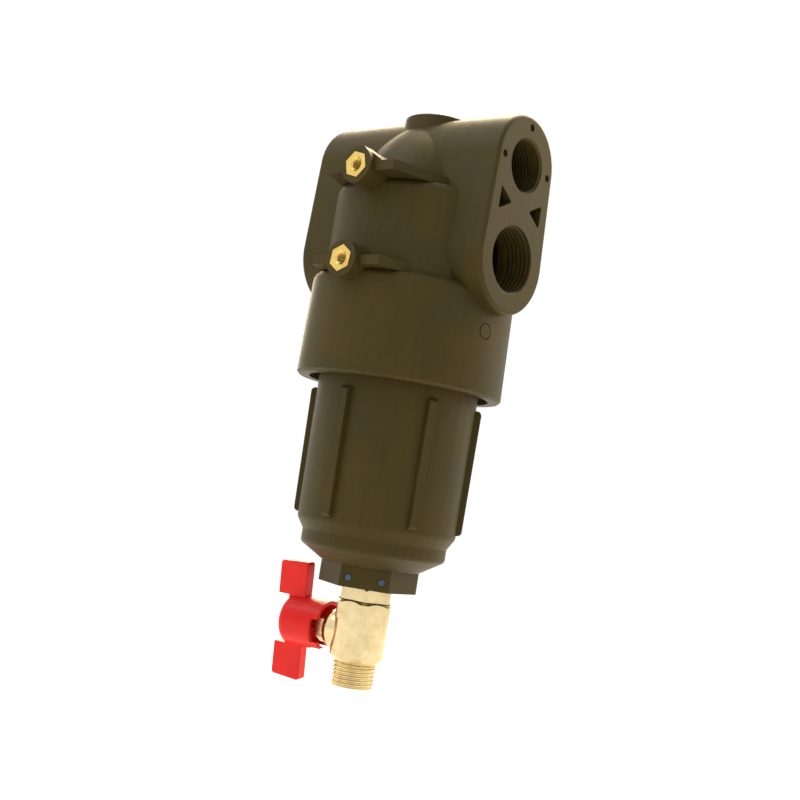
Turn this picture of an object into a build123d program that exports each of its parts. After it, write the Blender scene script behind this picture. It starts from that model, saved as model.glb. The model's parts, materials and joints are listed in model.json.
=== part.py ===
from build123d import *
from math import cos, radians, sin
import os

# Inline filter with a cleanable element and a ball valve at its drain. Millimetres, +Z up.
# The origin is midway between the two mounting inserts, on their outer faces. The filter
# hangs from them, with its axis behind the mounting face and its ports along X.

# Head: port block, tower, dome and collar
axis_y = 56.5  # from the mounting face back to the filter's axis
port_span = 110.0  # from end face to end face
upper_port_z = 36.5
lower_port_z = -8.5
block_top_radius = 23.6  # half the block's thickness round the upper ports
block_bottom_radius = 25.7  # and round the lower ports
block_edge = 2.0
collar_wall = 7.0
collar_draft = 0.7
rim_z = -73.0  # lower rim of the collar
collar_top_z = -23.5
collar_shoulder = 4.0
rim_edge = 1.2
tower_wall = 5.0
tower_top_z = 20.5
tower_shoulder = 4.5
dome_radius = 36.3
dome_bulge_radius = 31.0
dome_bulge_z = 37.5
dome_top_z = 53.0
top_boss_radius = 17.5
top_boss_z = 60.4
boss_edge = 0.8

# Threaded ports, cut at their thread's crest
upper_port_radius = 12.06  # G3/4
upper_thread_depth = 17.0
upper_passage_radius = 10.0
lower_port_radius = 15.15  # G1
lower_thread_depth = 14.4
lower_passage_radius = 14.4
port_lead_in = 0.9

# Inside of the head
mouth_step = 0.9
mouth_depth = 3.0
thread_step = 4.0  # from the bowl's outside to the collar's thread
collar_thread_top_z = -43.0
seal_step = 2.0
seal_bore_top_z = -31.0
chamber_step = 1.7
chamber_top_z = 15.0
spigot_radius = 12.0
spigot_bore_radius = 8.0
spigot_end_z = -7.0

# Core pockets and drill dimples in the end faces
pocket_apex_y = 7.4
pocket_base_y = 17.4
pocket_half_height = 5.6
pocket_z = 16.7
pocket_depth = 12.0
pocket_corner = 0.8
dimple_circle_radius = 18.5
dimple_radius = 1.75
dimple_depth = 1.4
gate_mark_z = -43.4
gate_mark_angle = -5.5
gate_mark_radius = 3.9
gate_mark_width = 0.5
gate_mark_depth = 0.4

# Mounting inserts, their hubs and the webs that carry them
insert_spacing = 44.0
insert_flats = 11.0
insert_hole_radius = 2.5  # M6, cut at its crest
insert_length = 14.0
insert_proud = 0.4
insert_turns = (45.0, 24.0)  # how each hexagon happened to be moulded in
hub_radius = 8.6
web_thickness = 4.6
web_front_y = 3.4
web_front_width = 39.5
web_back_width = 61.5
gusset_reach = 16.5
gusset_rise = 10.0
gusset_depth = 7.0

# Bowl
bowl_clearance = 0.4
bowl_radius = 39.0
bowl_foot_radius = 38.4
bowl_foot_z = -140.6
bowl_foot_round = 4.0
bead_radius = 35.0
bead_top_z = -146.0
bead_bottom_z = -152.2
bead_round = 2.5
hex_top_radius = 23.6
hex_top_z = -159.2
hex_flats = 41.0
hex_angle = 34.8
hex_height = 10.2
bowl_wall = 4.0
neck_height = 8.5
rib_count = 6
rib_angle = 33.0
rib_width = 4.0
rib_top_height = 2.9
rib_foot_height = 2.5
rib_round = 2.0
rib_root = 3.0  # how deep a rib starts in the bowl's wall
rib_top_gap = 5.0
rib_foot_gap = 2.0
seal_section = 3.0
bush_radius = 13.0
bush_thread_radius = 9.3  # G1/2, cut at its crest
pin_radius = 1.8
pin_offset = 7.9
pin_height = 4.4
pin_length = 10.8
pin_edge = 0.3
bush_groove = 1.4
bush_seal_section = 2.0

# Element
cap_radius = 27.5
cap_height = 18.0
cap_flange = 2.5
cap_skirt_radius = 22.4
cap_neck_radius = 16.5
element_gap = 0.3
spigot_fit = 0.1
seal_fit = 0.05
groove_width = 1.3  # of a seal's groove, in sections of the seal
spigot_seal_drop = 3.6
mesh_radius = 26.0
mesh_wall = 0.6
cage_wall = 2.6
cage_radius = 25.2
window_rows = 5
window_columns = 6
window_width = 18.0
window_bar = 4.0
foot_height = 7.0
foot_seat_radius = 15.0
foot_seat_height = 3.0
spigot_seal_section = 2.4

# Ball valve
valve_turn = 188.0  # direction of the stem, seen from above
tail_flats = 23.6
tail_hex_height = 6.0
tail_turn = 10.0
tail_corner = 0.54  # where the hexagon's chamfer starts, in flats
tail_thread_radius = 9.2
tail_thread_length = 9.0
tail_bore_radius = 6.0
tail_insert_radius = 10.3
tail_insert_length = 4.2
gasket_thickness = 0.6
band_flats = 25.6
band_radius = 13.7
band_height = 8.8
valve_edge = 1.0
barrel_radius = 13.0
barrel_height = 15.2
lower_band_flats = 24.6
lower_band_radius = 13.2
lower_band_height = 4.3
neck_radius = 9.4
neck_length = 1.4
male_thread_radius = 10.48  # G1/2
male_thread_length = 10.8
outlet_bore_radius = 7.0
stem_drop = 15.3  # from the top of the valve's body to the stem's axis
ball_radius = 8.5
ball_bore_radius = 5.0
ball_clearance = 0.05
cavity_radius = 9.0
seat_radius = 8.6
seat_bore_radius = 5.2
seat_reach = 5.4
seat_back = 9.4
stem_radius = 3.5
stem_fit = 0.05
tang_width = 3.0
tang_length = 8.4
tang_root = 5.8
stem_collar_radius = 5.2
stem_collar_bottom = 8.8
stem_collar_height = 1.5
washer_thickness = 0.5
boss_root_radius = 10.2
boss_end_radius = 8.2
boss_end = 16.8
boss_round = 1.6
packing_radius = 6.0
packing_bottom = 12.4
packing_height = 3.0
gland_end = 21.4
gland_flats = 13.4

# Handle
handle_lean = 6.6  # how far the handle had been turned from fully open
cup_radius = 12.3
cup_wall = 1.9
cup_start = 17.7
cup_floor = 28.0
slot_depth = 3.8  # of the slots that leave the cup's stops
slot_above = 4.5
slot_below = 6.8
skirt_depth = 9.3  # of the part cut away under the stops
stop_height = 3.4
hub_end = 41.0
hub_end_radius = 8.6
wing_start = 31.2
wing_end = 47.6
wing_reach = 28.7
wing_flare = 1.0  # how much further the wings reach on the valve's side
wing_thickness = 5.6
wing_corner = 1.6
wing_edge = 0.5
flat_width = 4.6
nut_recess_depth = 4.6
nut_recess_radius = 6.2
nut_flats = 8.0
nut_height = 4.0
stem_thread_radius = 2.5

# Places that follow from the sizes
insert_heights = (insert_spacing / 2, -insert_spacing / 2)
collar_thread_radius = bowl_radius + thread_step
mouth_radius = collar_thread_radius + mouth_step
collar_radius = collar_thread_radius + collar_wall
collar_top_radius = collar_radius - collar_draft
seal_bore_radius = collar_thread_radius - seal_step
chamber_radius = seal_bore_radius - chamber_step
tower_radius = chamber_radius + tower_wall
filter_axis = Axis((0, axis_y, 0), (0, 0, 1))
section = Plane(origin=(0, axis_y, 0), x_dir=(1, 0, 0), z_dir=(0, -1, 0))
hex_bottom_z = hex_top_z - hex_height
bowl_thread_top_z = collar_thread_top_z - bowl_clearance
bowl_thread_radius = collar_thread_radius - bowl_clearance
neck_outer_radius = seal_bore_radius - bowl_clearance
bowl_top_z = bowl_thread_top_z + neck_height
bowl_inner_radius = bowl_radius - bowl_wall
bowl_floor_z = bead_bottom_z - bead_round + bowl_wall
seal_middle_z = bowl_thread_top_z + neck_height / 2
bush_top_z = bowl_floor_z
foot_z = bowl_floor_z + foot_seat_height + element_gap
cap_top_z = chamber_top_z - 2 * bowl_clearance - cap_height / 2
cap_bottom_z = cap_top_z - cap_height
cap_passage_radius = spigot_bore_radius + 1
cage_bottom_z = foot_z + foot_height
tail_hex_z = hex_bottom_z - element_gap
valve_top_z = tail_hex_z - tail_hex_height - gasket_thickness
stem_z = valve_top_z - stem_drop
valve_band_z = valve_top_z - band_height
valve_barrel_z = valve_band_z - barrel_height
valve_lower_z = valve_barrel_z - lower_band_height
male_top_z = valve_lower_z - neck_length
male_bottom_z = male_top_z - male_thread_length
hex_normal = Vector(cos(radians(hex_angle - 90)), sin(radians(hex_angle - 90)), 0)
hex_face = Plane(
    origin=Vector(0, axis_y, hex_bottom_z) + hex_normal * hex_flats / 2,
    x_dir=hex_normal.rotate(Axis.Z, 90),
    z_dir=hex_normal,
)
stem_direction = Vector(cos(radians(valve_turn)), sin(radians(valve_turn)), 0)
stem_axis = Axis((0, axis_y, stem_z), tuple(stem_direction))
stem_centre = Vector(0, axis_y, stem_z)
stem_section = Plane(origin=stem_centre, x_dir=stem_direction, z_dir=stem_direction.cross(Vector(0, 0, 1)))
rotor_up = Vector(0, 0, 1).rotate(Axis((0, 0, 0), tuple(stem_direction)), -handle_lean)
rotor_section = Plane(origin=stem_centre, x_dir=stem_direction, z_dir=stem_direction.cross(rotor_up))


def level(z, turn=0.0):
    """Plane across the filter's axis at height z."""
    return Plane(origin=(0, axis_y, z), x_dir=(cos(radians(turn)), sin(radians(turn)), 0), z_dir=(0, 0, 1))


def along_stem(distance, x_dir=(0, 0, 1)):
    """Plane across the stem, this far from the valve's axis; its x is up unless told otherwise."""
    return Plane(origin=stem_centre + stem_direction * distance, x_dir=x_dir, z_dir=stem_direction)


def end_face(side):
    """Plane on the port block's end face, looking out of it; its y is up."""
    return Plane(origin=(side * port_span / 2, axis_y, 0), x_dir=(0, side, 0), z_dir=(side, 0, 0))


def save(name, part):
    """Write a sub-part with its name."""
    part.label = name
    export_step(part, f"parts/{name}.step")


os.makedirs("parts", exist_ok=True)

# Head moulding
with BuildPart() as head:
    with BuildSketch(end_face(-1)):
        with Locations((0, upper_port_z)):
            Circle(block_top_radius)
        with Locations((0, lower_port_z)):
            Circle(block_bottom_radius)
        make_hull()
    extrude(amount=-port_span)
    end_edges = faces().sort_by(Axis.X)[0].edges() + faces().sort_by(Axis.X)[-1].edges()
    fillet(end_edges, block_edge)

    with BuildSketch(section):
        Polygon(
            (0, rim_z),
            (collar_radius, rim_z),
            (collar_top_radius, collar_top_z),
            (0, collar_top_z),
            align=None,
        )
        fillet(vertices().sort_by(Axis.Y)[-2:].sort_by(Axis.X)[-1], collar_shoulder)
        chamfer(vertices().sort_by(Axis.X)[-1], rim_edge)
    revolve(axis=filter_axis)

    with BuildSketch(section):
        with Locations((0, collar_top_z)):
            Rectangle(tower_radius, tower_top_z - collar_top_z, align=Align.MIN)
        fillet(vertices().sort_by(Axis.Y)[-2:].sort_by(Axis.X)[-1], tower_shoulder)
    revolve(axis=filter_axis)

    with BuildSketch(section):
        with BuildLine():
            Polyline(
                (top_boss_radius, dome_top_z),
                (0, dome_top_z),
                (0, tower_top_z),
                (dome_radius, tower_top_z),
            )
            ThreePointArc(
                (dome_radius, tower_top_z),
                (dome_bulge_radius, dome_bulge_z),
                (top_boss_radius, dome_top_z),
            )
        make_face()
    revolve(axis=filter_axis)

    with BuildSketch(section):
        with Locations((0, upper_port_z)):
            Rectangle(top_boss_radius, top_boss_z - upper_port_z, align=Align.MIN)
        fillet(vertices().sort_by(Axis.Y)[-2:].sort_by(Axis.X)[-1], boss_edge)
    revolve(axis=filter_axis)

    for height in insert_heights:
        with BuildSketch(Plane.XY.offset(height - web_thickness / 2)):
            Polygon(
                (-web_front_width / 2, web_front_y),
                (web_front_width / 2, web_front_y),
                (web_back_width / 2, axis_y - block_top_radius + block_edge),
                (-web_back_width / 2, axis_y - block_top_radius + block_edge),
                align=None,
            )
        extrude(amount=web_thickness)
        with BuildSketch(Plane(origin=(0, insert_proud, height), x_dir=(1, 0, 0), z_dir=(0, -1, 0))):
            Circle(hub_radius)
        extrude(amount=insert_proud + block_top_radius - axis_y)
    with BuildSketch(Plane(origin=(0, web_front_y, insert_heights[0]), x_dir=(1, 0, 0), z_dir=(0, -1, 0))):
        Polygon((-gusset_reach, 0), (gusset_reach, 0), (0, gusset_rise), align=None)
    extrude(amount=-gusset_depth)

    with BuildSketch(level(rim_z)):
        Circle(mouth_radius)
    extrude(amount=mouth_depth, mode=Mode.SUBTRACT)
    with BuildSketch(level(rim_z)):
        Circle(collar_thread_radius)
    extrude(amount=collar_thread_top_z - rim_z, mode=Mode.SUBTRACT)
    with BuildSketch(level(collar_thread_top_z)):
        Circle(seal_bore_radius)
    extrude(amount=seal_bore_top_z - collar_thread_top_z, mode=Mode.SUBTRACT)
    with BuildSketch(level(seal_bore_top_z)):
        Circle(chamber_radius)
    extrude(amount=chamber_top_z - seal_bore_top_z, mode=Mode.SUBTRACT)
    with BuildSketch(level(spigot_end_z)):
        Circle(spigot_radius)
    extrude(amount=chamber_top_z - spigot_end_z)
    with BuildSketch(level(spigot_end_z)):
        Circle(spigot_bore_radius)
    extrude(amount=upper_port_z - spigot_end_z, mode=Mode.SUBTRACT)

    for side in (-1, 1):
        with BuildSketch(end_face(side)):
            with Locations((0, upper_port_z)):
                Circle(upper_port_radius)
        extrude(amount=-upper_thread_depth, mode=Mode.SUBTRACT)
        with BuildSketch(end_face(side)):
            with Locations((0, upper_port_z)):
                Circle(upper_passage_radius)
        extrude(amount=-port_span / 2, mode=Mode.SUBTRACT)
        with BuildSketch(end_face(side)):
            with Locations((0, lower_port_z)):
                Circle(lower_port_radius)
        extrude(amount=-lower_thread_depth, mode=Mode.SUBTRACT)
        with BuildSketch(end_face(side)):
            with Locations((0, lower_port_z)):
                Circle(lower_passage_radius)
        extrude(amount=spigot_radius + bowl_wall - port_span / 2, mode=Mode.SUBTRACT)
        for radius, height in ((upper_port_radius, upper_port_z), (lower_port_radius, lower_port_z)):
            with BuildSketch(end_face(side)):
                with Locations((0, height)):
                    Circle(radius + port_lead_in)
            extrude(amount=-port_lead_in, taper=45, mode=Mode.SUBTRACT)
        with BuildSketch(end_face(side)):
            for flank in (-1, 1):
                Polygon(
                    (flank * pocket_apex_y, pocket_z),
                    (flank * pocket_base_y, pocket_z + pocket_half_height),
                    (flank * pocket_base_y, pocket_z - pocket_half_height),
                    align=None,
                )
            fillet(vertices(), pocket_corner)
        extrude(amount=-pocket_depth, mode=Mode.SUBTRACT)
        with BuildSketch(end_face(side)):
            with Locations((0, upper_port_z)):
                with PolarLocations(dimple_circle_radius, 3, angular_range=180, endpoint=True):
                    Circle(dimple_radius)
        extrude(amount=-dimple_depth, mode=Mode.SUBTRACT)

    for height, turn in zip(insert_heights, insert_turns):
        with BuildSketch(Plane(origin=(0, 0, height), x_dir=(1, 0, 0), z_dir=(0, -1, 0))):
            RegularPolygon(insert_flats / 2, 6, major_radius=False, rotation=turn)
        extrude(amount=-insert_length, mode=Mode.SUBTRACT)

    gate_direction = Vector(cos(radians(gate_mark_angle)), sin(radians(gate_mark_angle)), 0)
    with BuildSketch(
        Plane(
            origin=Vector(0, axis_y, gate_mark_z) + gate_direction * (collar_radius + 1),
            x_dir=(0, 0, 1),
            z_dir=gate_direction,
        )
    ):
        Circle(gate_mark_radius)
        Circle(gate_mark_radius - gate_mark_width, mode=Mode.SUBTRACT)
    extrude(amount=-(collar_radius + 1 - collar_top_radius + gate_mark_depth), mode=Mode.SUBTRACT)
save("head", head.part)

# Brass inserts, moulded into the hubs
for name, height, turn in zip(("insert_upper", "insert_lower"), insert_heights, insert_turns):
    with BuildPart() as insert:
        with BuildSketch(Plane(origin=(0, 0, height), x_dir=(1, 0, 0), z_dir=(0, -1, 0))):
            RegularPolygon(insert_flats / 2, 6, major_radius=False, rotation=turn)
            Circle(insert_hole_radius, mode=Mode.SUBTRACT)
        extrude(amount=-insert_length)
    save(name, insert.part)

# Bowl
with BuildPart() as bowl:
    with BuildSketch(section):
        Polygon(
            (0, hex_top_z),
            (hex_top_radius, hex_top_z),
            (bead_radius, bead_bottom_z),
            (bead_radius, bead_top_z),
            (bowl_foot_radius, bowl_foot_z),
            (bowl_radius, rim_z),
            (bowl_radius, rim_z + mouth_depth),
            (bowl_thread_radius, rim_z + 2 * mouth_depth),
            (bowl_thread_radius, bowl_thread_top_z),
            (neck_outer_radius, bowl_thread_top_z),
            (neck_outer_radius, bowl_top_z),
            (0, bowl_top_z),
            align=None,
        )
        fillet(vertices().sort_by_distance((bead_radius, bead_bottom_z, 0))[0], bead_round)
        fillet(vertices().sort_by_distance((bead_radius, bead_top_z, 0))[0], bead_round / 2)
        fillet(vertices().sort_by_distance((bowl_foot_radius, bowl_foot_z, 0))[0], bowl_foot_round)
    revolve(axis=filter_axis)
    with BuildSketch(level(hex_bottom_z)):
        RegularPolygon(hex_flats / 2, 6, major_radius=False, rotation=hex_angle)
    extrude(amount=hex_height + bowl_wall)
    for number in range(rib_count):
        turn = rib_angle + number * 360 / rib_count
        rib_plane = Plane(
            origin=(0, axis_y, 0),
            x_dir=(cos(radians(turn)), sin(radians(turn)), 0),
            z_dir=(sin(radians(turn)), -cos(radians(turn)), 0),
        )
        with BuildSketch(rib_plane):
            Polygon(
                (bowl_foot_radius - rib_root, bowl_foot_z + rib_foot_gap),
                (bowl_foot_radius + rib_foot_height, bowl_foot_z + rib_foot_gap),
                (bowl_radius + rib_top_height, rim_z - rib_top_gap),
                (bowl_radius - rib_root, rim_z - rib_top_gap),
                align=None,
            )
            fillet(vertices().sort_by(Axis.X)[-2:], rib_round)
        extrude(amount=rib_width / 2, both=True)
    with BuildSketch(section):
        Polygon(
            (0, bowl_floor_z),
            (bead_radius - bowl_wall, bowl_floor_z),
            (bead_radius - bowl_wall, bead_top_z + bowl_wall),
            (bowl_foot_radius - bowl_wall, bowl_foot_z + bowl_wall),
            (bowl_inner_radius, rim_z),
            (bowl_inner_radius, bowl_top_z),
            (0, bowl_top_z),
            align=None,
        )
    revolve(axis=filter_axis, mode=Mode.SUBTRACT)
    with BuildSketch(level(bowl_floor_z)):
        Circle(foot_seat_radius + bowl_wall / 2)
    extrude(amount=foot_seat_height)
    with BuildSketch(level(hex_bottom_z)):
        Circle(bush_radius)
    extrude(amount=bowl_floor_z - hex_bottom_z, mode=Mode.SUBTRACT)
    with BuildSketch(section):
        with Locations((seal_bore_radius, seal_middle_z)):
            Rectangle(2 * (seal_section + 2 * seal_fit), seal_section * groove_width)
    revolve(axis=filter_axis, mode=Mode.SUBTRACT)
    with BuildSketch(hex_face):
        with Locations((-pin_offset, pin_height), (pin_offset, pin_height)):
            Circle(pin_radius)
    extrude(amount=-pin_length, mode=Mode.SUBTRACT)
save("bowl", bowl.part)

# Brass outlet bush in the bowl's hexagon, its lock pins and its seal
with BuildPart() as outlet_bush:
    with BuildSketch(level(hex_bottom_z)):
        Circle(bush_radius)
        Circle(bush_thread_radius, mode=Mode.SUBTRACT)
    extrude(amount=bush_top_z - hex_bottom_z)
    with BuildSketch(section):
        with Locations((bush_radius, hex_bottom_z + pin_height)):
            Rectangle(2 * bush_groove, 2 * pin_radius + 2 * bowl_clearance)
        with Locations((bush_radius, bush_top_z - 2 * bush_seal_section)):
            Rectangle(2 * (bush_seal_section + 2 * seal_fit), bush_seal_section * groove_width)
    revolve(axis=filter_axis, mode=Mode.SUBTRACT)
save("outlet_bush", outlet_bush.part)

with BuildPart() as bush_seal:
    with BuildSketch(section):
        with Locations((bush_radius - seal_fit - bush_seal_section / 2, bush_top_z - 2 * bush_seal_section)):
            Circle(bush_seal_section / 2)
    revolve(axis=filter_axis)
save("bush_seal", bush_seal.part)

for name, offset_side in (("bush_pin_left", -1), ("bush_pin_right", 1)):
    with BuildPart() as bush_pin:
        with BuildSketch(hex_face):
            with Locations((offset_side * pin_offset, pin_height)):
                Circle(pin_radius)
        extrude(amount=-pin_length)
        chamfer(edges().filter_by(GeomType.CIRCLE), pin_edge)
    save(name, bush_pin.part)

with BuildPart() as bowl_seal:
    with BuildSketch(section):
        with Locations((seal_bore_radius - seal_fit - seal_section / 2, seal_middle_z)):
            Circle(seal_section / 2)
    revolve(axis=filter_axis)
save("bowl_seal", bowl_seal.part)

# Element: top cap on the head's spigot, moulded cage, mesh sleeve and bottom cap
with BuildPart() as element_top_cap:
    with BuildSketch(section):
        Polygon(
            (cap_passage_radius, cap_bottom_z),
            (cap_skirt_radius, cap_bottom_z),
            (cap_skirt_radius, cap_bottom_z + cap_flange),
            (cap_radius, cap_bottom_z + cap_flange),
            (cap_radius, cap_bottom_z + 2 * cap_flange),
            (cap_neck_radius, cap_bottom_z + 2 * cap_flange),
            (cap_neck_radius, cap_top_z),
            (spigot_radius + spigot_fit, cap_top_z),
            (spigot_radius + spigot_fit, spigot_end_z - element_gap),
            (cap_passage_radius, spigot_end_z - element_gap),
            align=None,
        )
        with Locations((spigot_radius, cap_top_z - spigot_seal_drop)):
            Rectangle(
                2 * (spigot_seal_section + 2 * seal_fit),
                spigot_seal_section * groove_width,
                mode=Mode.SUBTRACT,
            )
    revolve(axis=filter_axis)
save("element_top_cap", element_top_cap.part)

with BuildPart() as spigot_seal:
    with BuildSketch(section):
        with Locations((spigot_radius + seal_fit + spigot_seal_section / 2, cap_top_z - spigot_seal_drop)):
            Circle(spigot_seal_section / 2)
    revolve(axis=filter_axis)
save("spigot_seal", spigot_seal.part)

with BuildPart() as element_cage:
    with BuildSketch(level(cage_bottom_z)):
        Circle(cage_radius)
        Circle(cage_radius - cage_wall, mode=Mode.SUBTRACT)
    extrude(amount=cap_bottom_z - cage_bottom_z)
    window_pitch = (cap_bottom_z - cage_bottom_z - window_bar) / window_rows
    for column in range(window_columns // 2):
        turn = column * 360 / window_columns
        across = Plane(
            origin=(0, axis_y, (cap_bottom_z + cage_bottom_z) / 2),
            x_dir=(cos(radians(turn)), sin(radians(turn)), 0),
            z_dir=(sin(radians(turn)), -cos(radians(turn)), 0),
        )
        with BuildSketch(across):
            with GridLocations(1, window_pitch, 1, window_rows):
                Rectangle(window_width, window_pitch - window_bar)
        extrude(amount=cage_radius + cage_wall, both=True, mode=Mode.SUBTRACT)
save("element_cage", element_cage.part)

with BuildPart() as element_mesh:
    with BuildSketch(level(cage_bottom_z - cap_flange)):
        Circle(mesh_radius)
        Circle(mesh_radius - mesh_wall, mode=Mode.SUBTRACT)
    extrude(amount=cap_bottom_z - cage_bottom_z + 2 * cap_flange)
save("element_mesh", element_mesh.part)

with BuildPart() as element_bottom_cap:
    with BuildSketch(section):
        Polygon(
            (0, foot_z),
            (foot_seat_radius, foot_z),
            (cap_radius, foot_z + foot_height - 2 * cap_flange),
            (cap_radius, foot_z + foot_height - cap_flange),
            (cap_skirt_radius, foot_z + foot_height - cap_flange),
            (cap_skirt_radius, cage_bottom_z),
            (0, cage_bottom_z),
            align=None,
        )
    revolve(axis=filter_axis)
save("element_bottom_cap", element_bottom_cap.part)

# Valve: brass nipple, its gasket and the one-piece body
with BuildPart() as tailpiece:
    with BuildSketch(level(tail_hex_z - tail_hex_height, tail_turn)):
        RegularPolygon(tail_flats / 2, 6, major_radius=False)
    extrude(amount=tail_hex_height)
    with BuildSketch(section):
        Polygon(
            (0, tail_hex_z),
            (tail_flats * tail_corner, tail_hex_z),
            (tail_flats, tail_hex_z - tail_flats / 2),
            (tail_flats, valve_top_z),
            (0, valve_top_z),
            align=None,
        )
    revolve(axis=filter_axis, mode=Mode.INTERSECT)
    with BuildSketch(level(tail_hex_z)):
        Circle(tail_thread_radius)
    extrude(amount=tail_thread_length)
    with BuildSketch(level(tail_hex_z - tail_hex_height)):
        Circle(tail_insert_radius)
    extrude(amount=-gasket_thickness - tail_insert_length)
    with BuildSketch(level(valve_top_z - tail_insert_length)):
        Circle(tail_bore_radius)
    extrude(amount=tail_thread_length + 2 * tail_hex_height, mode=Mode.SUBTRACT)
save("tailpiece", tailpiece.part)

with BuildPart() as valve_gasket:
    with BuildSketch(level(valve_top_z)):
        Circle(barrel_radius - gasket_thickness)
        Circle(tail_insert_radius + stem_fit, mode=Mode.SUBTRACT)
    extrude(amount=gasket_thickness)
save("valve_gasket", valve_gasket.part)

with BuildPart() as valve_body:
    with BuildSketch(level(valve_band_z, tail_turn)):
        RegularPolygon(band_flats / 2, 6, major_radius=False)
    extrude(amount=band_height)
    with BuildSketch(level(valve_lower_z, tail_turn)):
        RegularPolygon(lower_band_flats / 2, 6, major_radius=False)
    extrude(amount=lower_band_height)
    with BuildSketch(section):
        Polygon(
            (0, valve_lower_z),
            (lower_band_radius - lower_band_height / 2, valve_lower_z),
            (lower_band_radius, valve_lower_z + lower_band_height / 2),
            (lower_band_radius, valve_barrel_z),
            (band_radius, valve_band_z),
            (band_radius, valve_top_z - valve_edge),
            (band_radius - valve_edge, valve_top_z),
            (0, valve_top_z),
            align=None,
        )
    revolve(axis=filter_axis, mode=Mode.INTERSECT)
    with BuildSketch(section):
        Polygon(
            (0, male_bottom_z),
            (male_thread_radius - valve_edge, male_bottom_z),
            (male_thread_radius, male_bottom_z + valve_edge),
            (male_thread_radius, male_top_z),
            (neck_radius, male_top_z + neck_length / 2),
            (neck_radius, valve_lower_z),
            (barrel_radius - lower_band_height / 2, valve_lower_z),
            (barrel_radius, valve_lower_z + lower_band_height / 2),
            (barrel_radius, valve_top_z - valve_edge),
            (0, valve_top_z - valve_edge),
            align=None,
        )
    revolve(axis=filter_axis)
    with BuildSketch(stem_section):
        Polygon(
            (0, 0),
            (0, boss_root_radius),
            (barrel_radius, boss_root_radius),
            (boss_end, boss_end_radius),
            (boss_end, 0),
            align=None,
        )
        fillet(vertices().sort_by(Axis.X)[-2:].sort_by(Axis.Y)[-1], boss_round)
    revolve(axis=stem_axis)
    with BuildSketch(level(valve_top_z)):
        Circle(tail_insert_radius + stem_fit)
    extrude(amount=-tail_insert_length - element_gap, mode=Mode.SUBTRACT)
    with BuildSketch(level(valve_top_z)):
        Circle(cavity_radius)
    extrude(amount=-stem_drop - seat_back, mode=Mode.SUBTRACT)
    with BuildSketch(level(stem_z)):
        Circle(outlet_bore_radius)
    extrude(amount=male_bottom_z - stem_z, mode=Mode.SUBTRACT)
    with BuildSketch(along_stem(0)):
        Circle(stem_collar_radius + element_gap)
    extrude(amount=stem_collar_bottom + stem_collar_height + washer_thickness, mode=Mode.SUBTRACT)
    with BuildSketch(along_stem(0)):
        Circle(stem_radius + stem_fit)
    extrude(amount=boss_end, mode=Mode.SUBTRACT)
    with BuildSketch(along_stem(packing_bottom)):
        Circle(packing_radius)
    extrude(amount=boss_end, mode=Mode.SUBTRACT)
save("valve_body", valve_body.part)

for name, seat_side in (("seat_upper", 1), ("seat_lower", -1)):
    with BuildPart() as seat:
        with BuildSketch(level(stem_z + seat_side * seat_reach)):
            Circle(seat_radius)
            Circle(seat_bore_radius, mode=Mode.SUBTRACT)
        extrude(amount=seat_side * (seat_back - seat_reach))
        with Locations((0, axis_y, stem_z)):
            Sphere(ball_radius + ball_clearance, mode=Mode.SUBTRACT)
    save(name, seat.part)

with BuildPart() as stem_packing:
    with BuildSketch(along_stem(packing_bottom)):
        Circle(packing_radius)
        Circle(stem_radius + stem_fit, mode=Mode.SUBTRACT)
    extrude(amount=packing_height)
save("stem_packing", stem_packing.part)

with BuildPart() as gland_nut:
    with BuildSketch(along_stem(boss_end)):
        RegularPolygon(gland_flats / 2, 6, major_radius=False)
    extrude(amount=gland_end - boss_end)
    with BuildSketch(along_stem(packing_bottom + packing_height)):
        Circle(packing_radius)
    extrude(amount=boss_end - packing_bottom - packing_height)
    with BuildSketch(along_stem(packing_bottom)):
        Circle(stem_radius + stem_fit)
    extrude(amount=gland_end, mode=Mode.SUBTRACT)
save("gland_nut", gland_nut.part)

# Parts that turn with the handle: ball, stem, washer, handle and its nut
with BuildPart() as ball:
    with Locations((0, axis_y, stem_z)):
        Sphere(ball_radius)
    with BuildSketch(Plane(origin=stem_centre, x_dir=stem_direction, z_dir=rotor_up)):
        Circle(ball_bore_radius)
    extrude(amount=ball_radius, both=True, mode=Mode.SUBTRACT)
    with BuildSketch(along_stem(tang_root - stem_fit, rotor_up)):
        Rectangle(ball_radius * 2, tang_width + 2 * stem_fit)
    extrude(amount=ball_radius, mode=Mode.SUBTRACT)
save("ball", ball.part)

with BuildPart() as stem:
    with BuildSketch(along_stem(tang_root, rotor_up)):
        Rectangle(tang_length, tang_width)
    extrude(amount=stem_collar_bottom - tang_root)
    with BuildSketch(along_stem(stem_collar_bottom)):
        Circle(stem_collar_radius)
    extrude(amount=stem_collar_height)
    with BuildSketch(along_stem(stem_collar_bottom)):
        Circle(stem_radius)
    extrude(amount=cup_floor - stem_collar_bottom)
    with BuildSketch(along_stem(cup_floor, rotor_up)):
        Circle(stem_radius)
        Rectangle(2 * stem_radius, flat_width, mode=Mode.INTERSECT)
    extrude(amount=hub_end - nut_recess_depth - cup_floor)
    with BuildSketch(along_stem(hub_end - nut_recess_depth)):
        Circle(stem_thread_radius)
    extrude(amount=nut_recess_depth)
save("stem", stem.part)

with BuildPart() as stem_washer:
    with BuildSketch(along_stem(stem_collar_bottom + stem_collar_height)):
        Circle(stem_collar_radius)
        Circle(stem_radius, mode=Mode.SUBTRACT)
    extrude(amount=washer_thickness - 2 * stem_fit)
save("stem_washer", stem_washer.part)

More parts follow.
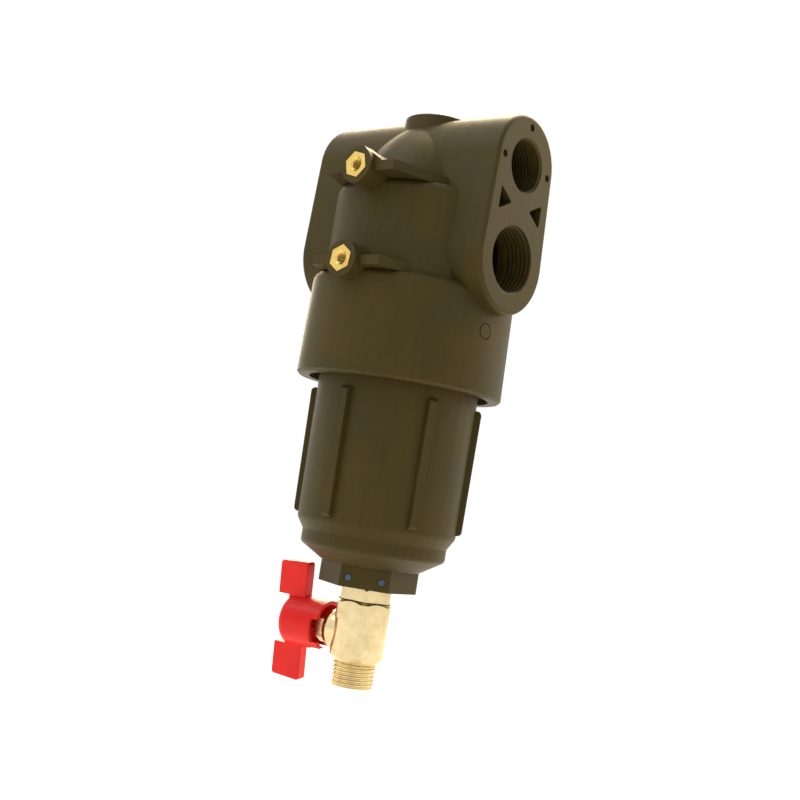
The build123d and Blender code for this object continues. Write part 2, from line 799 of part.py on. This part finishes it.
with BuildPart() as handle:
    with BuildSketch(rotor_section):
        for wing_side in (-1, 1):
            Polygon(
                (wing_start, 0),
                (wing_start, wing_side * (wing_reach + wing_flare / 2)),
                (wing_end, wing_side * (wing_reach - wing_flare / 2)),
                (wing_end, 0),
                align=None,
            )
        fillet(vertices().filter_by_position(Axis.Y, -wing_reach - wing_flare, -cup_radius), wing_corner)
        fillet(vertices().filter_by_position(Axis.Y, cup_radius, wing_reach + wing_flare), wing_corner)
    extrude(amount=wing_thickness / 2, both=True)
    chamfer(faces().sort_by(Axis(tuple(stem_centre), tuple(rotor_section.z_dir)))[0].edges(), wing_edge)
    with BuildSketch(rotor_section):
        Polygon((cup_start, 0), (cup_start, cup_radius), (hub_end, cup_radius), (hub_end, 0), align=None)
        fillet(vertices().sort_by(Axis.X)[-2:].sort_by(Axis.Y)[-1], cup_radius - hub_end_radius)
    revolve(axis=stem_axis)
    with BuildSketch(along_stem(hub_end)):
        Circle(cup_radius)
    extrude(amount=wing_end - hub_end, mode=Mode.SUBTRACT)
    with BuildSketch(along_stem(cup_start)):
        Circle(cup_radius - cup_wall)
    extrude(amount=cup_floor - cup_start, mode=Mode.SUBTRACT)
    with BuildSketch(rotor_section):
        Polygon(
            (cup_start, slot_above),
            (cup_start + slot_depth, slot_above),
            (cup_start + slot_depth, -slot_below),
            (cup_start, -slot_below),
            align=None,
        )
        Polygon(
            (cup_start, -slot_below - stop_height),
            (cup_start + skirt_depth, -slot_below - stop_height),
            (cup_start + skirt_depth, -cup_radius),
            (cup_start, -cup_radius),
            align=None,
        )
    extrude(amount=cup_radius, both=True, mode=Mode.SUBTRACT)
    with BuildSketch(along_stem(cup_floor, rotor_up)):
        Circle(stem_radius + stem_fit)
        Rectangle(2 * stem_radius + 2 * stem_fit, flat_width + 2 * stem_fit, mode=Mode.INTERSECT)
    extrude(amount=hub_end - cup_floor, mode=Mode.SUBTRACT)
    with BuildSketch(along_stem(hub_end - nut_recess_depth)):
        Circle(nut_recess_radius)
    extrude(amount=nut_recess_depth, mode=Mode.SUBTRACT)
save("handle", handle.part)

with BuildPart() as handle_nut:
    with BuildSketch(along_stem(hub_end - nut_recess_depth)):
        RegularPolygon(nut_flats / 2, 6, major_radius=False)
        Circle(stem_thread_radius, mode=Mode.SUBTRACT)
    extrude(amount=nut_height)
save("handle_nut", handle_nut.part)
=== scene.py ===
# %% [markdown]
# An inline filter hangs by its head from a bracket. Its head and bowl are black moulded plastic,
# its fittings are brass, and a ball valve with a red handle drains it. The solids arrive finished
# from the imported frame, so this lesson dresses them: real threads, finishes for every piece, and
# the light and camera of a product photograph.

# %% Load the frame
import json
from math import cos, pi, radians, sin

import bmesh
import bpy
from mathutils import Matrix, Vector


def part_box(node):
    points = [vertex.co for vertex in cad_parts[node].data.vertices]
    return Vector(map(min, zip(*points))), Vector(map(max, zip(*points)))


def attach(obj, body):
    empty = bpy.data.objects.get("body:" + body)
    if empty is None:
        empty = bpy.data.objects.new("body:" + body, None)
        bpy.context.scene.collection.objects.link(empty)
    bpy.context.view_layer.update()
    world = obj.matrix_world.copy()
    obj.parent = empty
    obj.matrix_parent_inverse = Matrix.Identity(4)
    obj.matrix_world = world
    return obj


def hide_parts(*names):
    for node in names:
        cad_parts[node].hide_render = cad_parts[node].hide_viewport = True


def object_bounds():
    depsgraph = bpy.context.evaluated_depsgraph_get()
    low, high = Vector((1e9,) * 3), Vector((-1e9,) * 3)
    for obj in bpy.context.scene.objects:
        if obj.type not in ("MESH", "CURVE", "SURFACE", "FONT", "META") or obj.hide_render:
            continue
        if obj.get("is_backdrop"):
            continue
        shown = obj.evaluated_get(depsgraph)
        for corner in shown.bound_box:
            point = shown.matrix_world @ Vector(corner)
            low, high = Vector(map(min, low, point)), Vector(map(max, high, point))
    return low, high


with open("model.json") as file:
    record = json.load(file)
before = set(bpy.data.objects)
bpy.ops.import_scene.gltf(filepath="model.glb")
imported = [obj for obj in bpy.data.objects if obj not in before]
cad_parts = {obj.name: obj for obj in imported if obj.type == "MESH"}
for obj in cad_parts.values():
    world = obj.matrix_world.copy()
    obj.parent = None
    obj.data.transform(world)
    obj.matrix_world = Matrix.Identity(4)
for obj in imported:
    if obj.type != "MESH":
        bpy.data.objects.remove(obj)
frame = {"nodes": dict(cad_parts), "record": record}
solids = frame["nodes"]
cad_low, cad_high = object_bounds()
print("solids", len(solids), "box in mm", [round(1000 * side, 1) for side in cad_high - cad_low])

# %% [markdown]
# The camera comes first, because everything after it is judged through it. Its place was worked
# out from the photograph: it stands low in front of the right-hand end, looks up by five degrees
# and is rolled by nine, which is why the upright filter leans in the picture. A camera is turned
# by a matrix whose columns are its own right, up and backward directions.

# %% Place the camera
view_azimuth, view_elevation, view_roll = radians(38.7455), radians(-5.0471), radians(9.033)
view_target = Vector((0.001274, 0.057522, -0.077898))
view_distance = 0.571054
backward = Vector(
    (
        sin(view_azimuth) * cos(view_elevation),
        -cos(view_azimuth) * cos(view_elevation),
        sin(view_elevation),
    )
)
level_right = Vector((cos(view_azimuth), sin(view_azimuth), 0))
level_up = backward.cross(level_right)
camera_right = cos(view_roll) * level_right + sin(view_roll) * level_up
camera_up = cos(view_roll) * level_up - sin(view_roll) * level_right
camera = bpy.data.objects.new("camera", bpy.data.cameras.new("camera"))
camera.matrix_world = Matrix.Translation(view_target + backward * view_distance) @ Matrix(
    (camera_right, camera_up, backward)
).transposed().to_4x4()
camera.data.lens = 52.776
camera.data.sensor_width = 36.0
camera.data.clip_start = 0.01
bpy.context.scene.collection.objects.link(camera)
bpy.context.scene.camera = camera
print("camera stands at", [round(value, 3) for value in camera.matrix_world.translation])

# %% [markdown]
# Finishes and Geometry Nodes are both trees of nodes, and both read better as sums. `Signal` wraps
# one socket, so that `1 - mask` or `height / pitch` adds the Math node that it needs. `Nodes` wraps
# a tree and adds any other node: its type, its settings, then the values or links of its sockets.

# %% Write node trees as Python sums
class Signal:
    """One output socket, which can be used in sums with numbers and other signals."""

    def __init__(self, nodes, socket):
        self.nodes = nodes
        self.socket = socket

    def maths(self, operation, first, second=0.0):
        return self.nodes.add("ShaderNodeMath", {"operation": operation}, {0: first, 1: second})

    def __add__(self, other):
        return self.maths("ADD", self, other)

    def __radd__(self, other):
        return self.maths("ADD", other, self)

    def __sub__(self, other):
        return self.maths("SUBTRACT", self, other)

    def __rsub__(self, other):
        return self.maths("SUBTRACT", other, self)

    def __mul__(self, other):
        return self.maths("MULTIPLY", self, other)

    def __rmul__(self, other):
        return self.maths("MULTIPLY", other, self)

    def __truediv__(self, other):
        return self.maths("DIVIDE", self, other)

    def __rtruediv__(self, other):
        return self.maths("DIVIDE", other, self)

    def between(self, low, high):
        """0 below low, 1 above high and a straight ramp from one to the other."""
        sockets = {"Value": self, "From Min": low, "From Max": high}
        return self.nodes.add("ShaderNodeMapRange", {"clamp": True}, sockets)


class Nodes:
    """A tree of nodes, for a finish or for Geometry Nodes."""

    def __init__(self, tree):
        self.tree = tree
        tree.nodes.clear()

    def add(self, kind, settings=None, sockets=None, output=0):
        node = self.tree.nodes.new(kind)
        for name, value in (settings or {}).items():
            if name == "stops":
                for stop, (place, colour) in zip(node.color_ramp.elements, value):
                    stop.position = place
                    stop.color = colour
            else:
                setattr(node, name, value)
        for name, value in (sockets or {}).items():
            if isinstance(value, Signal):
                self.tree.links.new(value.socket, node.inputs[name])
            else:
                node.inputs[name].default_value = value
        return Signal(self, node.outputs[output]) if node.outputs else None

    def axes(self, vector):
        """The x, y and z of a vector."""
        split = self.add("ShaderNodeSeparateXYZ", {}, {0: vector}).socket.node
        return [Signal(self, socket) for socket in split.outputs]

    def mix(self, factor, first, second):
        """A colour between two others."""
        sockets = {0: factor, 6: first, 7: second}
        return self.add("ShaderNodeMix", {"data_type": "RGBA"}, sockets, output=2)

    def noise(self, place, scale, detail=2.0, rough=0.5):
        """Cloudy noise with this many cells to the metre."""
        sockets = {"Vector": place, "Scale": scale, "Detail": detail, "Roughness": rough}
        return self.add("ShaderNodeTexNoise", {}, sockets)


print("ready:", Signal.__name__, "and", Nodes.__name__)

# %% [markdown]
# A screw thread is a cylinder whose radius rises and falls once in each pitch, with a phase that
# turns with the angle. A modelled helix would have to be swept and joined to itself; moving the
# points of a plain cylinder gives the same shape as one closed body, which a Boolean can cut with.
# One Geometry Nodes tree makes them all: the taps that cut the ports and inserts, and the rod.

# %% Build the thread tree
def new_geometry_tree(name, inputs):
    """A Geometry Nodes tree with named inputs, and their signals by name."""
    tree = bpy.data.node_groups.new(name, "GeometryNodeTree")
    for title, kind in inputs.items():
        tree.interface.new_socket(title, in_out="INPUT", socket_type=kind)
    tree.interface.new_socket("Geometry", in_out="OUTPUT", socket_type="NodeSocketGeometry")
    nodes = Nodes(tree)
    group_input = nodes.add("NodeGroupInput").socket.node
    signals = {title: Signal(nodes, group_input.outputs[title]) for title in inputs}
    return tree, nodes, signals


def close_geometry_tree(nodes, geometry, finish):
    """Realize the instances, give them their finish and send them out."""
    real = nodes.add("GeometryNodeRealizeInstances", {}, {"Geometry": geometry})
    dressed = nodes.add("GeometryNodeSetMaterial", {}, {"Geometry": real, "Material": finish})
    nodes.add("NodeGroupOutput", {}, {"Geometry": dressed})


thread_tree, nodes, given = new_geometry_tree(
    "screw thread",
    {
        "Crest Radius": "NodeSocketFloat",
        "Root Radius": "NodeSocketFloat",
        "Pitch": "NodeSocketFloat",
        "Length": "NodeSocketFloat",
        "Facets": "NodeSocketInt",
        "Rings": "NodeSocketInt",
        "Finish": "NodeSocketMaterial",
    },
)
rod = nodes.add(
    "GeometryNodeMeshCylinder",
    {"fill_type": "NGON"},
    {"Vertices": given["Facets"], "Side Segments": given["Rings"], "Radius": 1.0, "Depth": given["Length"]},
)
x, y, z = nodes.axes(nodes.add("GeometryNodeInputPosition"))
angle = nodes.add("ShaderNodeMath", {"operation": "ARCTAN2"}, {0: y, 1: x})
phase = nodes.add("ShaderNodeMath", {"operation": "COSINE"}, {0: z * (2 * pi) / given["Pitch"] - angle})
ridge = (phase * 0.8 + 0.5).between(0.0, 1.0)
radius = given["Root Radius"] + (given["Crest Radius"] - given["Root Radius"]) * ridge
place = nodes.add("ShaderNodeCombineXYZ", {}, {"X": x * radius, "Y": y * radius, "Z": z})
thread = nodes.add("GeometryNodeSetPosition", {}, {"Geometry": rod, "Position": place})
close_geometry_tree(nodes, thread, given["Finish"])
print("thread tree has", len(thread_tree.nodes), "nodes")

# %% [markdown]
# A tree makes its mesh only while its modifier is live. The modifier could stay, but a finished
# piece should be plain mesh at the origin, so the result is copied out of the evaluated object,
# the modifier is cleared, and the piece's place goes into its points and not into the object.

# %% Turn a tree into a plain mesh
collection = bpy.context.scene.collection


def link(name, mesh):
    """A new object at the origin that shows this mesh."""
    piece = bpy.data.objects.new(name, mesh)
    collection.objects.link(piece)
    return piece


def settle(piece):
    """Turn a piece's modifiers into its own plain mesh."""
    graph = bpy.context.evaluated_depsgraph_get()
    mesh = bpy.data.meshes.new_from_object(piece.evaluated_get(graph))
    piece.modifiers.clear()
    piece.data = mesh
    mesh.name = piece.name
    return piece


def grow(name, tree, values, place=Matrix()):
    """A piece made by a Geometry Nodes tree from its named values, then put in its place."""
    piece = link(name, bpy.data.meshes.new(name))
    modifier = piece.modifiers.new("tree", "NODES")
    modifier.node_group = tree
    for item in tree.interface.items_tree:
        if item.in_out == "INPUT":
            modifier[item.identifier] = values[item.name]
    settle(piece)
    piece.data.transform(place)
    return piece


def pointing(origin, direction):
    """A place whose z looks along this direction."""
    turned = Vector(direction).to_track_quat("Z", "Y").to_matrix().to_4x4()
    return Matrix.Translation(origin) @ turned


print("helpers ready")

# %% [markdown]
# The moulding is glass-filled nylon. It is not plain black: in strong light it shows a warm olive
# brown, clouded where the melt flowed, and a very fine dry grain. Three noises make it: a wide one
# for the clouds in the colour, one stretched upwards for the lines of flow, and a narrow one for
# the grain in the bump and the roughness.

# %% Finish of the black moulding
def begin(name):
    """A new material, its nodes and its place in the object."""
    material = bpy.data.materials.new(name)
    material.use_nodes = True
    nodes = Nodes(material.node_tree)
    return material, nodes, nodes.add("ShaderNodeTexCoord", output="Object")


def finish(nodes, colour, roughness, height, relief, **constants):
    """Join a finish: its colour, roughness and height, and the constants of the shader."""
    bump = nodes.add("ShaderNodeBump", {}, {"Height": height, "Distance": relief, "Strength": 1.0})
    sockets = {"Base Color": colour, "Roughness": roughness, "Normal": bump}
    sockets.update({title.replace("_", " "): value for title, value in constants.items()})
    shader = nodes.add("ShaderNodeBsdfPrincipled", {}, sockets)
    nodes.add("ShaderNodeOutputMaterial", {}, {"Surface": shader})


black_moulding, nodes, place = begin("black_moulding")
clouds = nodes.noise(place, 34.0, 3.0).between(0.35, 0.68)
stretched = nodes.add("ShaderNodeMapping", {}, {"Vector": place, "Scale": (1.0, 1.0, 0.12)})
flow = nodes.noise(stretched, 420.0, 2.0)
grain = nodes.noise(place, 3200.0, 3.0, 0.6)
tint = nodes.mix(clouds, (0.044, 0.034, 0.009, 1), (0.060, 0.043, 0.009, 1))
tint = nodes.mix(flow.between(0.45, 0.8) * 0.5, tint, (0.034, 0.029, 0.012, 1))
finish(
    nodes,
    tint,
    0.43 + clouds * 0.05 + grain * 0.10,
    grain * 0.7 + flow * 0.5,
    0.00006,
    IOR=1.5,
    Specular_IOR_Level=0.23,
    Specular_Tint=(1.0, 0.88, 0.62, 1),
)
print("black_moulding has", len(nodes.tree.nodes), "nodes")

# %% [markdown]
# The inserts are bright yellow brass, the valve is brass under a thin pale plating. Both are metal,
# so the colour is that of the reflection. Fine rings from the lathe run round one axis of each
# finish: a wave of the distance along that axis, with pits of noise for the share that is cast,
# and a soft cloud in the colour and the roughness. Steel and chrome share the recipe.

# %% Finishes of the brass, steel and chrome
def turned_metal(name, bright, dull, roughness, ring_pitch=0.00035, relief=0.00001, axis=2, cast=0.35):
    """Metal off the lathe, with rings across one of its axes and a faint cloud."""
    material, nodes, place = begin(name)
    rings = nodes.axes(place)[axis] * (2 * pi / ring_pitch)
    rings = nodes.add("ShaderNodeMath", {"operation": "SINE"}, {0: rings}) * 0.5 + 0.5
    cloud = nodes.noise(place, 190.0, 4.0, 0.6).between(0.3, 0.72)
    pits = nodes.noise(place, 2400.0, 2.0, 0.5)
    colour = nodes.mix(cloud, (*bright, 1), (*dull, 1))
    finish(
        nodes,
        colour,
        roughness + cloud * 0.09 + rings * 0.04,
        rings * (1 - cast) + pits * (2.5 * cast),
        relief,
        Metallic=1.0,
    )
    print(name, "has", len(nodes.tree.nodes), "nodes")
    return material


insert_brass = turned_metal("insert_brass", (0.90, 0.66, 0.20), (0.72, 0.48, 0.11), 0.24, axis=1)
valve_brass = turned_metal("valve_brass", (0.80, 0.67, 0.40), (0.66, 0.52, 0.26), 0.20, cast=0.6)
pin_steel = turned_metal("pin_steel", (0.085, 0.125, 0.15), (0.05, 0.075, 0.095), 0.34, cast=0.8)
ball_chrome = turned_metal("ball_chrome", (0.86, 0.87, 0.89), (0.80, 0.81, 0.84), 0.06, relief=0.000002)

# %% [markdown]
# The handle is a casting under thick red enamel. Enamel levels itself into a faint orange peel,
# shows a little deeper where it pooled, and has a clear gloss of its own: that is the coat.

# %% Finish of the red enamel
red_enamel, nodes, place = begin("red_enamel")
pools = nodes.noise(place, 90.0, 3.0).between(0.3, 0.7)
peel = nodes.noise(place, 900.0, 1.0)
specks = nodes.noise(place, 5200.0, 2.0)
tint = nodes.mix(pools, (0.76, 0.012, 0.010, 1), (0.66, 0.009, 0.008, 1))
finish(
    nodes,
    tint,
    0.34 + pools * 0.08 + specks * 0.06,
    peel * 0.8 + specks * 0.2,
    0.00008,
    IOR=1.5,
    Specular_IOR_Level=0.2,
    Coat_Weight=0.12,
    Coat_Roughness=0.15,
)
print("red_enamel has", len(nodes.tree.nodes), "nodes")

# %% [markdown]
# Inside sit softer things: rubber rings, pale seats and the white element. They share one recipe
# of a plastic or rubber with a grain, given different colours, gloss and grain sizes.

# %% Finishes of the seals, seats and element
def moulded(name, first, second, roughness, cells, relief, **constants):
    """A plain moulded surface with two close tints and a grain."""
    material, nodes, place = begin(name)
    patches = nodes.noise(place, 60.0, 2.0).between(0.35, 0.7)
    grain = nodes.noise(place, cells, 3.0, 0.6)
    tint = nodes.mix(patches, (*first, 1), (*second, 1))
    finish(nodes, tint, roughness + grain * 0.1, grain, relief, **constants)
    print(name, "has", len(nodes.tree.nodes), "nodes")
    return material


rubber_seal = moulded("rubber_seal", (0.016, 0.016, 0.017), (0.026, 0.025, 0.024), 0.55, 1800.0, 0.00004)
seat_plastic = moulded("seat_plastic", (0.84, 0.83, 0.78), (0.78, 0.77, 0.71), 0.38, 2600.0, 0.00002)
white_plastic = moulded("white_plastic", (0.79, 0.79, 0.76), (0.72, 0.72, 0.68), 0.42, 2200.0, 0.00004)
steel_wire = turned_metal("steel_wire", (0.62, 0.63, 0.64), (0.48, 0.49, 0.50), 0.28, cast=0.9)

# %% [markdown]
# The ports are pipe threads: a one inch thread below and three quarters above. Their bores were
# made at the thread's crest, so a tap, which is a threaded rod as wide as the root, cuts the real
# grooves out of a welded copy of the head. The manifold solver does this cleanly and fast.

# %% Cut the threads of the ports
axis_y = 0.0565


def welded(node, name):
    """A copy of a solid whose triangles are joined, so that it can be cut."""
    work = bmesh.new()
    work.from_mesh(solids[node].data)
    bmesh.ops.remove_doubles(work, verts=work.verts, dist=1e-6)
    mesh = bpy.data.meshes.new(name)
    work.to_mesh(mesh)
    work.free()
    if "custom_normal" in mesh.attributes:
        mesh.attributes.remove(mesh.attributes["custom_normal"])
    return link(name, mesh)


def threaded_rod(name, crest, root, pitch, length, place, material):
    """A rod with a thread, from its foot along z of its place."""
    rod = grow(
        name,
        thread_tree,
        {
            "Crest Radius": crest,
            "Root Radius": root,
            "Pitch": pitch,
            "Length": length,
            "Facets": 72,
            "Rings": round(12 * length / pitch),
            "Finish": material,
        },
        place @ Matrix.Translation((0, 0, length / 2)),
    )
    return rod


def cut(piece, tools):
    """Cut these tools out of a piece, one after the other, and put them away."""
    for tool in tools:
        modifier = piece.modifiers.new("cut", "BOOLEAN")
        modifier.operation = "DIFFERENCE"
        modifier.solver = "MANIFOLD"
        modifier.object = tool
    settle(piece)
    for tool in tools:
        bpy.data.objects.remove(tool)


def soften(piece, material, threads=(), angle=30.0):
    """Smooth the rounds, keep the edges sharp, and give flats their true shade."""
    mesh = piece.data
    mesh.materials.clear()
    mesh.materials.append(material)
    work = bmesh.new()
    work.from_mesh(mesh)
    for face in work.faces:
        face.smooth = True
        face.material_index = 0
    inside = {face for face in work.faces if any(test(face.calc_center_median()) for test in threads)}
    for edge in work.edges:
        wide = len(edge.link_faces) == 2 and edge.calc_face_angle(0.0) > radians(angle)
        edge.smooth = not wide or all(face in inside for face in edge.link_faces)
    work.to_mesh(mesh)
    work.free()
    weighted = piece.modifiers.new("shade", "WEIGHTED_NORMAL")
    weighted.keep_sharp = True
    settle(piece)
    print(piece.name, "has", len(piece.data.polygons), "faces")


def replace_solid(piece, node, body):
    """Let a detailed piece stand for a solid."""
    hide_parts(node)
    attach(piece, body)


def groove(axis_point, axis, low, high):
    """A test that tells whether a point lies within a thread, from its radius about an axis."""
    axis = Vector(axis).normalized()

    def inside(point):
        away = point - axis_point
        along = away.dot(axis)
        return low < (away - axis * along).length < high

    return inside


mounts = {mount["name"]: mount for mount in frame["record"]["mounts"]}
pipe_threads = {"upper_port": (0.001814, 0.00116, 0.0168), "lower_port": (0.002309, 0.00148, 0.0142)}
slack = 0.00005
taps, tests = [], []
for title, (pitch, depth_of_groove, length) in pipe_threads.items():
    for side in ("left", "right"):
        mount = mounts[f"{title}_{side}"]
        crest = mount["dims"]["r_mm"] / 1000 - slack
        root = crest + depth_of_groove
        inward = -Vector(mount["axis"])
        mouth = Vector((-inward.x * cad_high.x, mount["pos_m"][1], mount["pos_m"][2]))
        start = pointing(mouth - inward * 2 * pitch, inward)
        reach = length + 2 * pitch
        taps.append(threaded_rod(f"tap_{title}_{side}", root, crest, pitch, reach, start, black_moulding))
        tests.append(groove(mouth, inward, crest + slack, root + slack))
head_moulding = welded("head", "head_moulding")
cut(head_moulding, taps)
soften(head_moulding, black_moulding, tests)
replace_solid(head_moulding, "head", "head")

# %% [markdown]
# The two inserts are tapped M6, with a small countersink that starts the screw. The valve ends in a
# half inch pipe thread outside, so there the tool is a die: a plain ring with a threaded rod cut
# out of it, which then takes the grooves out of the valve's body.

# %% Tap the inserts and cut the valve's thread
def countersink(name, wide, narrow, depth, place):
    """A short cone to cut with, from its wide end along z of its place."""
    work = bmesh.new()
    bmesh.ops.create_cone(work, cap_ends=True, segments=48, radius1=wide, radius2=narrow, depth=depth)
    mesh = bpy.data.meshes.new(name)
    work.to_mesh(mesh)
    work.free()
    mesh.transform(place @ Matrix.Translation((0, 0, depth / 2)))
    return link(name, mesh)


screw_pitch = 0.001
screw_groove = 0.00055
countersink_rise = 0.0007
countersink_depth = 0.0012
countersink_overlap = 0.0002
screw = mounts["bracket_inserts"]["dims"]
for node, side in (("insert_upper", 1), ("insert_lower", -1)):
    low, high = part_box(node)
    crest = screw["hole_r_mm"] / 1000 - slack
    root = crest + screw_groove
    mouth = Vector((0, low[1], side * screw["spacing_y_mm"] / 2000))
    depth = high[1] - low[1] - screw_pitch
    start = pointing(mouth - Vector((0, 2 * screw_pitch, 0)), (0, 1, 0))
    tap = threaded_rod(f"tap_{node}", root, crest, screw_pitch, depth + 2 * screw_pitch, start, insert_brass)
    proud = pointing(mouth - Vector((0, countersink_overlap, 0)), (0, 1, 0))
    cone = countersink(f"cone_{node}", root + countersink_rise, crest, countersink_depth, proud)
    insert = welded(node, f"{node}_tapped")
    cut(insert, [tap, cone])
    soften(insert, insert_brass, [groove(mouth, (0, 1, 0), crest + slack, root + slack)])
    replace_solid(insert, node, "head")

drain = mounts["drain_end"]
drain_groove = 0.00105
crest = drain["dims"]["r_mm"] / 1000 - slack
root = crest - drain_groove
pitch = pipe_threads["upper_port"][0]
end = Vector((0, axis_y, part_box("valve_body")[0][2] - pitch / 2))
length = 0.0115
rim = crest * 1.2
die = threaded_rod("die", rim, rim, pitch, length, pointing(end, (0, 0, 1)), valve_brass)
below = pointing(end - Vector((0, 0, 2 * pitch)), (0, 0, 1))
rod = threaded_rod("die_rod", crest, root, pitch, length + 4 * pitch, below, valve_brass)
cut(die, [rod])
valve_casting = welded("valve_body", "valve_casting")
cut(valve_casting, [die])
soften(valve_casting, valve_brass, [groove(end, (0, 0, 1), root - slack, crest - slack)])
replace_solid(valve_casting, "valve_body", "bowl")

# %% [markdown]
# The other solids already have the shape of the real piece, so they only need a finish. The record
# names a material slot for each node, and one dictionary turns that slot into a material here.

# %% Dress the solids that keep their shape
finishes = {
    "black_moulding": black_moulding,
    "insert_brass": insert_brass,
    "valve_brass": valve_brass,
    "red_enamel": red_enamel,
    "pin_steel": pin_steel,
    "rubber_seal": rubber_seal,
    "seat_plastic": seat_plastic,
    "white_plastic": white_plastic,
    "steel_mesh": steel_wire,
    "chromed_ball": ball_chrome,
}
slots = {part["node"]: part["material_slot"] for part in frame["record"]["subparts"]}
for node, solid in solids.items():
    for material_slot in solid.material_slots:
        material_slot.material = finishes[slots[node]]
print("dressed", len(solids), "solids")

# %% [markdown]
# The studio: a pale floor under the valve and a white background. Both are white only to the
# camera and to reflections, through Light Path, so that they throw no extra light on the object;
# the floor keeps a share of its plain shading, and with it the object's shadow. It lies lower than
# the drain does when the bowl is unscrewed and has come down as far as it can.

# %% Floor and background
def seen(nodes):
    """1 for rays from the camera, a reflection or glass, else 0."""
    rays = nodes.add("ShaderNodeLightPath").socket.node
    looks = [Signal(nodes, rays.outputs[f"Is {kind} Ray"]) for kind in ("Camera", "Glossy", "Transmission")]
    return (looks[0] + looks[1] + looks[2]).between(0.0, 1.0)


slides = [joint for joint in frame["record"]["behaviour"]["joints"] if joint["type"] == "slide"]
floor_gap = 0.002
floor_level = cad_low.z - max(joint["range_m"][1] for joint in slides) - floor_gap
floor_mesh = bpy.data.meshes.new("floor")
work = bmesh.new()
bmesh.ops.create_circle(work, cap_ends=True, segments=64, radius=3.0)
bmesh.ops.translate(work, verts=work.verts, vec=(0, axis_y, floor_level))
work.to_mesh(floor_mesh)
work.free()
floor = link("floor", floor_mesh)
floor_white, nodes, place = begin("floor_white")
far = nodes.add("ShaderNodeVectorMath", {"operation": "LENGTH"}, {0: place}, output="Value")
far = far.between(0.45, 1.3)
soft_white = nodes.add("ShaderNodeBsdfDiffuse", {}, {"Color": (0.35, 0.35, 0.35, 1)})
glow = nodes.add("ShaderNodeEmission", {}, {"Color": (1, 1, 1, 1), "Strength": 0.72})
bright = nodes.add("ShaderNodeEmission", {}, {"Color": (1, 1, 1, 1), "Strength": 1.0})
shaded = nodes.add("ShaderNodeAddShader", {}, {0: soft_white, 1: glow})
shown = nodes.add("ShaderNodeMixShader", {}, {0: far, 1: shaded, 2: bright})
plain = nodes.add("ShaderNodeBsdfDiffuse", {}, {"Color": (0.8, 0.8, 0.8, 1)})
surface = nodes.add("ShaderNodeMixShader", {}, {0: seen(nodes), 1: plain, 2: shown})
nodes.add("ShaderNodeOutputMaterial", {}, {"Surface": surface})
floor_mesh.materials.append(floor_white)
floor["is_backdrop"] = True

world = bpy.data.worlds.new("studio")
world.use_nodes = True
bpy.context.scene.world = world
nodes = Nodes(world.node_tree)
level = 0.6 + seen(nodes) * 0.4
sky = nodes.add("ShaderNodeBackground", {}, {"Color": (1, 1, 1, 1), "Strength": level})
nodes.add("ShaderNodeOutputWorld", {}, {"Surface": sky})
print("floor at", round(floor_level, 4))

# %% [markdown]
# A product photograph of a dark thing is lit from behind, so that its edges glow and its front
# stays dark. Three warm lamps stand behind the filter, at its left, its right and above it, and
# one weak white lamp at the front left shows the form between the edges. It stands so high that
# the flat brass faces, which look straight forward, don't mirror it into the camera.

# %% Lamps
rim_colour = (1.0, 0.82, 0.52)


def lamp(name, azimuth, elevation, distance, size, power, colour=(1, 1, 1)):
    """A soft square lamp that looks at the middle of the filter."""
    light = bpy.data.lights.new(name, "AREA")
    light.shape = "SQUARE"
    light.size = size
    light.energy = power
    light.color = colour
    lit = bpy.data.objects.new(name, light)
    a, e = radians(azimuth), radians(elevation)
    away = Vector((sin(a) * cos(e), -cos(a) * cos(e), sin(e)))
    middle = Vector((0, axis_y, -0.08))
    lit.matrix_world = pointing(middle + away * distance, away)
    collection.objects.link(lit)
    return lit


lamp("front_left", -30, 52, 0.9, 0.5, 2.2)
lamp("rim_left", -130, 25, 0.9, 0.6, 12.0, rim_colour)
lamp("rim_right", 150, 30, 0.9, 0.6, 2.4, rim_colour)
lamp("rim_top", -160, 60, 0.9, 0.6, 13.5, rim_colour)
bpy.context.scene.view_settings.view_transform = "Standard"

# %% [markdown]
# Last, the box of the dressed filter is measured, as the box of its solids was at the start.

# %% Measure the dressed filter
low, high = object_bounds()
